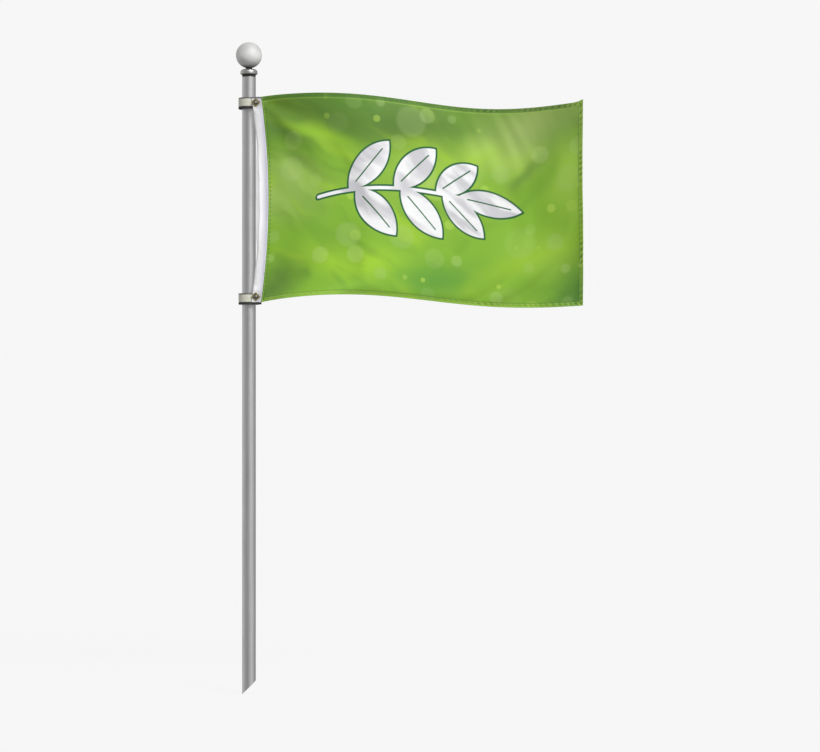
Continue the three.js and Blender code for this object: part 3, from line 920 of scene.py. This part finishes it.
def depth_at(x):
    header_swing = (WAVE_MEAN - HEADER_Y) / math.cos(wave_angle(CLOTH_START_X))
    grown = 1 - np.exp((CLOTH_START_X - x) / WAVE_GROWTH)
    return WAVE_MEAN - (header_swing + (WAVE_SWING - header_swing) * grown) * np.cos(wave_angle(x))


def share_along(x):
    return (x - CLOTH_START_X) / (FLY_X - CLOTH_START_X)


def lift_at(x):
    grown = 1 - np.exp((CLOTH_START_X - x) / LIFT_GROWTH)
    return LIFT * grown * np.cos(2 * np.pi * (x - LIFT_CREST_X) / LIFT_LENGTH) - SAG * share_along(x)


def hoist_left_at(x):
    return 1 - (HEADER_SHRINK + HOIST_SHRINK * np.sin(np.pi * share_along(x))) / HOIST


def bow_at(z):
    return HEADER_BOW * (1 - (z / (EYELET_SPACING / 2)) ** 2)


def bow_share(x):
    return np.clip(1 - (x - CLOTH_START_X) / (FOLD_X - CLOTH_START_X), 0, 1) ** 2


def ridge(distance, width):
    """1 where the distance is 0, falling off smoothly over about that width."""
    return np.exp(-((distance / width) ** 2))


WAVE_X = np.linspace(CLOTH_START_X, FLY_X, 2000)
WAVE_S = np.concatenate(([0], np.cumsum(np.hypot(np.diff(WAVE_X), np.diff(depth_at(WAVE_X))))))
CLOTH_LENGTH = WAVE_S[-1]
FOLDS_BEGIN, FOLDS_END = 90 * MM, 420 * MM  # how far from an eyelet its folds rise and die out
FOLDS_PER_RADIAN = 10
EYELET_SETBACK = 30 * MM  # where the folds meet, behind the cloth's start


def tension_folds(s, v):
    """Folds that fan out from the upper eyelet and the lower one, and soft ripples to the fly."""
    total = 0
    for corner, way, height in ((HOIST, -1, 4 * MM), (0, 1, 2.2 * MM)):
        out, along = way * (v - corner), s + EYELET_SETBACK
        far = np.hypot(out, along)
        fade = ridge(far, FOLDS_END) * (1 - ridge(far, FOLDS_BEGIN))
        total = total + height * fade * np.sin(np.arctan2(out, along) * FOLDS_PER_RADIAN + 0.6)
    ripple = np.sin(2 * np.pi * (s * 2.1 + (v - 0.3) * 1.3) + 0.7) * np.clip(s / 0.9, 0, 1) ** 1.5
    drift = np.sin(2 * np.pi * (s * 0.9 - v * 2.2) + 2.1) * np.clip(s / 0.5, 0, 1)
    sewn_flat = 1 - np.exp(-s / (25 * MM))
    return sewn_flat * (total + 3.2 * MM * ripple + 2.2 * MM * drift)


def cloth_shape(s, v):
    """Where the flat cloth's point (s, v) lies in the waving flag. s and v are arrays."""
    x = np.interp(s, WAVE_S, WAVE_X)
    z = v - HOIST / 2
    lean = np.interp(x, WAVE_X, np.gradient(depth_at(WAVE_X), WAVE_X))
    fold = tension_folds(s, v) / np.sqrt(1 + lean**2)
    to_corner = np.hypot(CLOTH_LENGTH - s, HOIST - v)
    peak = CORNER_PEAK * np.clip(1 - to_corner / CORNER_REACH, 0, 1) ** 2
    return np.stack(
        (
            x + bow_at(z) * bow_share(x) + fold * lean,
            depth_at(x) - fold,
            MIDDLE_Z + lift_at(x) + z * hoist_left_at(x) + peak,
        ),
        axis=-1,
    )


def grid_faces(columns, rows, first=0, flipped=False):
    """The quads between a grid's points, which are numbered from first."""
    n = first + np.arange(columns * rows).reshape(columns, rows)
    quads = np.stack((n[:-1, :-1], n[1:, :-1], n[1:, 1:], n[:-1, 1:]), axis=-1).reshape(-1, 4)
    return (quads[:, ::-1] if flipped else quads).tolist()


SIM_COLUMNS, SIM_ROWS = 140, 88
SIM_FRAMES = 26
SIM_REACH = 9 * MM  # how far the simulation may push a point out of the wave
SIM_SOFTENING = 4  # times that the push is averaged, which leaves its broad folds
SEWN, HEMMED, LOOSE = 1.0, 0.5, 0.05  # how firmly points are held: at the header, hems and between


def normals_of(points):
    """The way that each point of a grid faces."""
    normals = np.cross(np.gradient(points, axis=0), np.gradient(points, axis=1))
    return normals / np.linalg.norm(normals, axis=-1, keepdims=True)


def softened(values):
    """Values on a grid, each averaged with its neighbours."""
    for axis in (0, 1):
        edged = np.pad(values, [(1, 1) if i == axis else (0, 0) for i in (0, 1)], mode="edge")
        before, after = np.delete(edged, [-1, -2], axis), np.delete(edged, [0, 1], axis)
        values = (before + 2 * values + after) / 4
    return values


def settled(points):
    """Cloth simulation: slightly loose cloth wrinkles as it streams and sags between soft pins."""
    columns, rows = points.shape[:2]
    mesh = mesh_of(points.reshape(-1, 3), grid_faces(columns, rows))
    cloth = bpy.data.objects.new("settling", mesh)
    scene = bpy.context.scene
    still = scene.gravity.copy()
    scene.collection.objects.link(cloth)
    hold = cloth.vertex_groups.new(name="hold")
    n = np.arange(columns * rows).reshape(columns, rows)
    for held, weight in ((n, LOOSE), (n[-1], HEMMED), (n[:, [0, -1]], HEMMED), (n[0], SEWN)):
        hold.add(held.ravel().tolist(), weight, "REPLACE")
    modifier = cloth.modifiers.new("cloth", "CLOTH")
    rules = modifier.settings
    rules.quality = 6
    rules.mass = 0.15
    rules.tension_stiffness = rules.compression_stiffness = 12
    rules.shear_stiffness = 6
    rules.bending_stiffness = 0.4
    rules.vertex_group_mass = "hold"
    rules.pin_stiffness = 2.0
    rules.shrink_min = -0.008
    modifier.collision_settings.use_self_collision = False
    modifier.point_cache.frame_end = SIM_FRAMES
    scene.gravity = (5, 0, -5)
    scene.frame_start, scene.frame_end = 1, SIM_FRAMES
    for step in range(1, SIM_FRAMES + 1):
        scene.frame_set(step)
    seen = cloth.evaluated_get(bpy.context.evaluated_depsgraph_get())
    moved = np.empty(columns * rows * 3)
    seen.data.vertices.foreach_get("co", moved)
    bpy.data.objects.remove(cloth)
    scene.frame_set(1)
    scene.gravity = still
    normals = normals_of(points)
    pushed = np.sum((moved.reshape(points.shape) - points) * normals, axis=-1)
    for _ in range(SIM_SOFTENING):
        pushed = softened(pushed)
    return points + normals * (SIM_REACH * np.tanh(pushed / SIM_REACH))[..., None]


def smooth_between(values, places, axis):
    """Values along an axis, read between their rows by a cubic through the four nearest."""
    values = np.moveaxis(values, axis, 0)
    last = len(values) - 1
    base = np.clip(np.floor(places).astype(int), 0, last - 1)
    t = (places - base).reshape(-1, *([1] * (values.ndim - 1)))
    before, here = values[np.maximum(base - 1, 0)], values[base]
    there, after = values[base + 1], values[np.minimum(base + 2, last)]
    bend = 2 * before - 5 * here + 4 * there - after
    twist = 3 * (here - there) + after - before
    made = here + 0.5 * t * (there - before + t * (bend + t * twist))
    return np.moveaxis(made, 0, axis)


HEM_ZONE = 18 * MM  # along hemmed edges, where the finished mesh is finer
HEM_SPACING, CLOTH_SPACING = 1.3 * MM, 3.8 * MM  # of its points, in that zone and outside it


def spaced(length, hemmed_start):
    """Places along a length, close together near its end, and near its start if that is hemmed."""
    places = [0.0]
    while places[-1] < length - WELD:
        here = places[-1]
        near = (hemmed_start and here < HEM_ZONE) or here > length - HEM_ZONE - CLOTH_SPACING
        places.append(here + (HEM_SPACING if near else CLOTH_SPACING))
    return np.array(places) * length / places[-1]


def inward_from_hem(s, v):
    """How far a point of the cloth is from its nearest hemmed edge."""
    return np.minimum(np.minimum(v, HOIST - v), CLOTH_LENGTH - s)


PUCKER_PITCH = 17 * MM
PUCKER_DEPTH = 1.1 * MM


def puckers(s, v):
    """Slanted gathers along the stitch lines, uneven in pitch and depth."""
    inward = inward_from_hem(s, v)
    along = np.where(np.minimum(v, HOIST - v) < CLOTH_LENGTH - s, s, v)
    uneven = 0.9 * np.sin(along * 61) + 0.7 * np.sin(along * 23 + 1)
    wave = np.sin(2 * np.pi * (along + 0.7 * inward) / PUCKER_PITCH + uneven)
    size = 0.6 + 0.4 * np.sin(along * 37 + 2) * np.sin(along * 11)
    to_fly = np.clip((s - 0.45) / 0.3, 0, 1)
    return wave * size * (0.25 + 0.75 * to_fly)


class Sheet:
    """The finished front of a cloth on a fine grid, which its stitches and hems are placed by."""

    def __init__(self, s, v, points):
        self.s, self.v, self.points = s, v, points
        self.normals = normals_of(points)

    def read(self, values, s, v):
        i = np.interp(s, self.s, np.arange(len(self.s)))
        j = np.interp(v, self.v, np.arange(len(self.v)))
        i0 = np.clip(i.astype(int), 0, len(self.s) - 2)
        j0 = np.clip(j.astype(int), 0, len(self.v) - 2)
        a, b = (i - i0)[:, None], (j - j0)[:, None]
        near = values[i0, j0] * (1 - b) + values[i0, j0 + 1] * b
        far = values[i0 + 1, j0] * (1 - b) + values[i0 + 1, j0 + 1] * b
        return near * (1 - a) + far * a

    def place(self, s, v, lift):
        normals = self.read(self.normals, s, v)
        return self.read(self.points, s, v) + normals * lift, normals


def solid_sheet(sheet, front, back, attributes):
    """One closed solid from a sheet: its front and back lie front and back off it, by arrays."""
    columns, rows = sheet.points.shape[:2]
    faces_out = sheet.points + sheet.normals * front[..., None]
    faces_in = sheet.points - sheet.normals * back[..., None]
    count = columns * rows
    vertices = np.concatenate((faces_out.reshape(-1, 3), faces_in.reshape(-1, 3)))
    faces = grid_faces(columns, rows) + grid_faces(columns, rows, count, flipped=True)
    n = np.arange(count).reshape(columns, rows)
    rim = np.concatenate((n[:, 0], n[-1, 1:], n[-2::-1, -1], n[0, -2:0:-1])).tolist()
    faces += [(a, a + count, b + count, b) for a, b in zip(rim, rim[1:] + rim[:1])]
    mesh = mesh_of(vertices, faces)
    flat = mesh.uv_layers.new(name="Flat")
    loops = np.empty(len(mesh.loops), dtype=int)
    mesh.loops.foreach_get("vertex_index", loops)
    places = np.stack(np.meshgrid(sheet.s, sheet.v, indexing="ij"), axis=-1).reshape(-1, 2)
    flat.data.foreach_set("uv", places[loops % count].ravel())
    for key, values in attributes.items():
        layer = mesh.attributes.new(key, "FLOAT", "POINT")
        layer.data.foreach_set("value", np.tile(values.ravel(), 2).astype(np.float32))
    return smooth(cleaned(mesh, 0), 60)


def build_cloth():
    """The printed sheet: simulated coarsely, then refined with hems and puckers."""
    s = np.linspace(0, CLOTH_LENGTH, SIM_COLUMNS)
    v = np.linspace(0, HOIST, SIM_ROWS)
    points = cloth_shape(*np.meshgrid(s, v, indexing="ij"))
    points = settled(points)
    fine_s, fine_v = spaced(CLOTH_LENGTH, False), spaced(HOIST, True)
    points = smooth_between(points, fine_s / CLOTH_LENGTH * (SIM_COLUMNS - 1), 0)
    points = smooth_between(points, fine_v / HOIST * (SIM_ROWS - 1), 1)
    sheet = Sheet(fine_s, fine_v, points)
    along, up = np.meshgrid(fine_s, fine_v, indexing="ij")
    inward, to_end = inward_from_hem(along, up), CLOTH_LENGTH - along
    hem = np.clip((HEM_WIDTH - inward) / (1 * MM), 0, 1)
    stitched = ridge(inward - HEM_STITCH_INSET, 3.2 * MM)
    pucker = puckers(along, up) * ridge(inward - HEM_STITCH_INSET, 6 * MM)
    rise = PUCKER_DEPTH * pucker - 0.25 * MM * stitched
    sheet = Sheet(fine_s, fine_v, points + sheet.normals * rise[..., None])
    edge = np.clip(inward / (0.8 * MM), 0.25, 1)
    front = CLOTH_HALF_THICKNESS * edge
    back = front + HEM_LAYERS * hem * edge
    top = np.clip((up - HOIST + 3 * HEM_WIDTH) / HEM_WIDTH, 0, 1)
    top = top * np.clip(to_end / (5 * HEM_WIDTH), 0.15, 1)
    gleam = top * ridge(inward - HEM_WIDTH - 1.5 * MM, 1.5 * MM)
    dashed = np.where(to_end < 1.5 * HEM_WIDTH, 1, 0.35 + 0.4 * top)
    # Painted light and shade drawn on the cloth: shade along the top hem, a shadow at each hem's inner
    # edge, gleams along the hems, and shade in the puckers' dips.
    attributes = {
        "hem": hem * top,
        "hem_edge_shadow": (1 - top) * ridge(inward - HEM_WIDTH, 1.3 * MM),
        "hem_gleam": gleam + stitched * np.clip(pucker, 0, 1) + 0.9 * hem * (1 - top),
        "pucker": dashed * np.clip((-pucker - 0.3) / 0.25, 0, 1) * stitched,
    }
    mesh = solid_sheet(sheet, front, back, attributes)
    piece = in_scene("printed_cloth", mesh, "printed_polyester")
    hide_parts("cloth_hoist", "cloth_fly")
    return piece, sheet


# ---- header tape and stitches

TAPE_HALF_THICKNESS = 0.75 * MM
TUCK, TUCK_DEPTH = 6.7 * MM, 4.5 * MM


def hoist_height(v):
    """The height on the cloth, from its middle, that a height on the tape is sewn to."""
    return (v - HEADER_HEIGHT / 2) * HOIST / HEADER_HEIGHT


def header_free(v):
    """How freely the tape hangs: 0 where the rings hold it, 1 halfway between them."""
    return np.clip(1 - (hoist_height(v) / (EYELET_SPACING / 2 - 20 * MM)) ** 2, 0, 1)


def crease_at(v):
    """Where the tape's sewn crease is, from its free edge: it runs out towards both rings."""
    return 2.2 * MM + 6 * MM * header_free(v)


def header_shape(a, v):
    """Where the flat tape's point lies: a metres from its free edge, v up from its lower end.

    Below and above the rings its free edge is tucked in behind it.
    """
    free = header_free(v)
    tucked = np.sin(np.pi / 2 * np.clip((1 - free) / 0.4, 0, 1)) ** 2
    tucked = tucked * np.clip(1 - a / (0.62 * HEADER_WIDTH), 0, 1) ** 1.3
    crease = crease_at(v)
    curled = np.clip(crease - a, 0, None) * 0.3
    cupped = 2.6 * MM * np.sin(np.pi * np.clip((a - crease) / (HEADER_WIDTH - crease), 0, 1))
    ripple = 1.2 * MM * np.sin(v * 41 + 1) * np.sin(v * 17) * (1 - a / HEADER_WIDTH)
    x = EYELET_X - HEADER_WIDTH / 2 + a + bow_at(hoist_height(v)) + ripple * free + TUCK * tucked
    y = HEADER_Y + free * (curled + cupped) + 0.4 * MM * free * np.sin(v * 55)
    y = y + TUCK_DEPTH * tucked * np.clip(free / 0.12, 0, 1)
    return np.stack((x, y, MIDDLE_Z - HEADER_HEIGHT / 2 + v), axis=-1)


def build_header():
    """A folded canvas tape: two layers, a rolled free edge, and grooves where it is stitched."""
    columns, rows = 46, 260
    a = np.linspace(0, HEADER_WIDTH, columns)
    v = np.linspace(0, HEADER_HEIGHT, rows)
    across, up = np.meshgrid(a, v, indexing="ij")
    sheet = Sheet(a, v, header_shape(across, up))
    edge = np.minimum(across, HEADER_WIDTH - across) / (1.2 * MM)
    rolled = np.sqrt(1 - (1 - np.clip(edge, 0, 1)) ** 2)
    ends = np.clip(np.minimum(up, HEADER_HEIGHT - up) / (0.8 * MM), 0.3, 1)
    crease = ridge(across - crease_at(up), 1 * MM)
    seam = ridge(across - HEADER_WIDTH + HEADER_SEAM_INSET, 1 * MM)
    grooves = 0.4 * (crease + seam) * (1 + 0.4 * np.sin(2 * np.pi * up / (6 * MM)))
    half = TAPE_HALF_THICKNESS * np.maximum(rolled, 0.12) * ends * (1 - grooves)
    # the crease attribute carries painted shade along the sewn crease
    mesh = solid_sheet(sheet, half, half, {"crease": crease * header_free(up)})
    hole, reach = 3.4 * MM, 6 * MM
    starts = [(eyelet.x, HEADER_Y + reach, eyelet.z) for eyelet in EYELETS.values()]
    mesh = carved(mesh, *(rod(hole, 2 * reach, 48, start, FACE_FRONT) for start in starts))
    return new_piece("header_canvas", mesh, "header_tape"), sheet


def stitch_row(sheet, path, run, pitch, length, lift, way=1):
    """Where the stitches along a path lie: their two ends, and the way that they face.

    The path gives flat places for shares of its run, whose length is in metres.
    """
    count = int(run / pitch)
    middles = (np.arange(count) + 0.5) / count
    ends = [sheet.place(*path(middles + side * length / 2 / run), way * lift) for side in (-1, 1)]
    return ends[0][0], ends[1][0], way * ends[0][1]


def straight(start, end):
    """A straight path between two flat places, and its length."""
    start, end = np.array(start), np.array(end)

    def path(share):
        places = start + np.outer(share, end - start)
        return places[:, 0], places[:, 1]

    return path, np.linalg.norm(end - start)


# A stitch's sections: the share of its length, its thickness and its rise, both in thread radii.
STITCH = ((0.0, 0.25, -0.6), (0.14, 0.85, 0.1), (0.5, 1.0, 0.45), (0.86, 0.85, 0.1), (1.0, 0.25, -0.6))
STITCH_SIDES = 6


def stitched(name, rows, radius, finish, slot, body=None):
    """Every stitch of some rows as a short bowed length of thread, in one piece."""
    sides, vertices, faces = STITCH_SIDES, [], []
    for row in rows:
        for a, b, n in zip(*row):
            side = np.cross(b - a, n)
            side /= np.linalg.norm(side)
            first = len(vertices)
            for share, thick, rise in STITCH:
                centre = a + (b - a) * share + n * rise * radius
                for x, y in circle(radius * thick, sides):
                    vertices.append(centre + side * x + n * y)
            last = len(vertices) - sides
            for here in range(first, last, sides):
                for k in range(sides):
                    j = (k + 1) % sides
                    faces.append((here + k, here + j, here + sides + j, here + sides + k))
            faces.append(range(first + sides - 1, first - 1, -1))
            faces.append(range(last, last + sides))
    return in_scene(name, smooth(cleaned(mesh_of(vertices, faces)), 60), slot, body, finish)


# Each kind of stitch has a pitch and a length, and the radius of its thread.
HEM_GAUGE, HEM_THREAD = (6.4 * MM, 4.2 * MM), 0.32 * MM
SEAM_GAUGE, SEAM_THREAD = (12 * MM, 6.5 * MM), 0.8 * MM
TAPE_GAUGE, TAPE_THREAD = (4.4 * MM, 3.2 * MM), 0.28 * MM
SEAM_INSET = 7 * MM  # of the seam that joins the cloth to its header
SEAM_END = 4 * MM  # what a seam leaves free at each end


def build_stitches(sheet, header):
    """Lock stitches along the hems and the header's seams, on the front and the back."""
    green, white = thread("green_thread", 40, 92, 30), thread("white_thread", 176, 176, 184)
    low, high, end = HEM_STITCH_INSET, HOIST - HEM_STITCH_INSET, CLOTH_LENGTH - HEM_STITCH_INSET
    start, tack = 6 * MM, 20 * MM
    front = CLOTH_HALF_THICKNESS
    behind = front + HEM_LAYERS
    hem_paths = [
        straight((start, high), (end, high)),
        straight((start, low), (end, low)),
        straight((end, low), (end, high)),
    ]
    corner_paths = [
        straight((end - tack, low + tack), (end, low)),
        straight((end - tack, high - tack), (end, high)),
    ]
    rows = [stitch_row(sheet, *path, *HEM_GAUGE, front) for path in hem_paths + corner_paths]
    rows += [stitch_row(sheet, *path, *HEM_GAUGE, behind, -1) for path in hem_paths]
    hems = stitched("hem_stitches", rows, HEM_THREAD, green, "printed_polyester")
    seam = straight((SEAM_INSET, SEAM_END), (SEAM_INSET, HOIST - SEAM_END))
    rows = [stitch_row(sheet, *seam, *SEAM_GAUGE, front)]
    attach = stitched("attaching_stitches", rows, SEAM_THREAD, green, "printed_polyester", "flag")
    run = HEADER_HEIGHT - 2 * SEAM_END

    def crease(share):
        up = SEAM_END + share * run
        return crease_at(up), up

    edge = HEADER_WIDTH - HEADER_SEAM_INSET
    edge_seam = straight((edge, SEAM_END), (edge, HEADER_HEIGHT - SEAM_END))
    lift = 0.5 * MM
    rows = [
        stitch_row(header, *path, *TAPE_GAUGE, lift, way)
        for path in ((crease, run), edge_seam)
        for way in (1, -1)
    ]
    tape = stitched("header_stitches", rows, TAPE_THREAD, white, "white_canvas", "flag")
    return hems, attach, tape


# ---- floor, light and camera

CAMERA_DISTANCE = 8.0
VIEW_WIDTH = 2.3925  # metres across the frame, at the pole
CAMERA_X = 0.4699
CAMERA_Z = 0.9281
BACKDROP = 0.928  # brightness of the background
KEY_AZIMUTH, KEY_HEIGHT = 38, 41  # degrees to the right of the camera, and up
KEY_STRENGTH = 2.8
FLOOR_TONE = 0.03
FLOOR_REACH = 60
# The room's soft panels: azimuth, height, narrowness, brightness.
PANELS = (
    (52, 5, 3.5, 0.38),
    (-122, 5, 2.0, 0.42),
    (0, 90, 1.5, 0.30),
)
ROOM_BRIGHTNESS = 0.42
PANELS_ON_FLOOR = 0.2  # brightness that the panels add there


def towards(azimuth, height):
    """The way to a place in the room. Azimuth 0 is behind the camera, 90 to the right."""
    turn, rise = math.radians(azimuth), math.radians(height)
    return Vector((math.sin(turn) * math.cos(rise), -math.cos(turn) * math.cos(rise), math.sin(rise)))


def build_room(scene):
    """Soft panels round the object, a darker floor behind it, and a plain backdrop to look at."""
    world = bpy.data.worlds.new("studio")
    world.use_nodes = True
    scene.world = world
    n = Nodes(world.node_tree)
    way = n.add("TexCoord", output="Generated")
    light = ROOM_BRIGHTNESS
    for azimuth, height, narrowness, brightness in PANELS:
        facing = n.vector("DOT_PRODUCT", way, towards(azimuth, height), output=1)
        lobe = n.math("POWER", n.math("MAXIMUM", facing, 0.0), narrowness)
        light = n.math("MULTIPLY_ADD", lobe, brightness, light)
    behind = n.vector("DOT_PRODUCT", way, towards(180, -62), output=1)
    light = n.times(light, n.ramp(behind, 0.55, 0.95, 1, 0.06))
    below = n.vector("DOT_PRODUCT", way, (0, 0, -1), output=1)
    light = n.times(light, n.ramp(below, 0.25, 0.9, 1, 0.4))
    room = n.add("Background", {"Strength": light})
    backdrop = n.tree.nodes["Background"]
    n.feed(backdrop.inputs["Color"], (BACKDROP, BACKDROP, BACKDROP, 1))
    choose = n.add("MixShader", {0: n.add("LightPath", output="Is Camera Ray"), 1: room})
    n.feed(choose.node.inputs[2], backdrop.outputs[0])
    n.feed(n.tree.nodes["World Output"].inputs["Surface"], choose)


def build_floor(scene):
    """A plain pale floor, as bright as the backdrop, that takes a faint shadow."""
    corners = [(x * FLOOR_REACH, y * FLOOR_REACH, 0) for x, y in ((-1, -1), (1, -1), (1, 1), (-1, 1))]
    floor = bpy.data.objects.new("floor", mesh_of(corners, [(0, 1, 2, 3)]))
    floor.location.z = -0.5 * MM
    floor.visible_glossy = False
    floor.visible_diffuse = False
    scene.collection.objects.link(floor)
    key = KEY_STRENGTH * math.sin(math.radians(KEY_HEIGHT)) / math.pi
    lit = FLOOR_TONE * (ROOM_BRIGHTNESS + PANELS_ON_FLOOR + key)
    pale = Paint("pale_floor", roughness=1.0, specular_ior_level=0.0)
    pale.set(base_color=(FLOOR_TONE, FLOOR_TONE, FLOOR_TONE, 1))
    pale.set(emission_color=(1, 1, 1, 1), emission_strength=BACKDROP - lit)
    floor.data.materials.append(pale.material)


def build_studio():
    scene = bpy.context.scene
    scene.view_settings.view_transform = "Standard"
    camera = bpy.data.cameras.new("camera")
    camera.sensor_width = 36
    camera.lens = camera.sensor_width * CAMERA_DISTANCE / VIEW_WIDTH
    viewer = bpy.data.objects.new("camera", camera)
    viewer.location = (CAMERA_X, -CAMERA_DISTANCE, CAMERA_Z)
    viewer.rotation_euler = (math.pi / 2, 0, 0)
    scene.collection.objects.link(viewer)
    scene.camera = viewer
    build_room(scene)
    build_floor(scene)
    key = bpy.data.lights.new("key", "SUN")
    key.energy = KEY_STRENGTH
    key.angle = math.radians(20)
    lamp = bpy.data.objects.new("key", key)
    lamp.rotation_euler = towards(KEY_AZIMUTH, KEY_HEIGHT).to_track_quat("Z", "Y").to_euler()
    scene.collection.objects.link(lamp)


# ---- the scene

build_studio()
soften_kept_nodes()
build_plug_screws()
build_seal()
build_collar()
build_neck()
build_ball()
for end, turn in (("upper", 48), ("lower", 42)):
    build_ring(end)
    build_shoe(end)
    build_eyelet(end, turn)
    build_washer(end)
    build_header_screw(end)
cloth, cloth_sheet = build_cloth()
header, header_sheet = build_header()
hems, attach, tape = build_stitches(cloth_sheet, header_sheet)

for piece in (cloth, header):
    piece.visible_glossy = False  # the metal beside them mirrors the room only

for piece in (cloth, hems):
    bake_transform(piece)
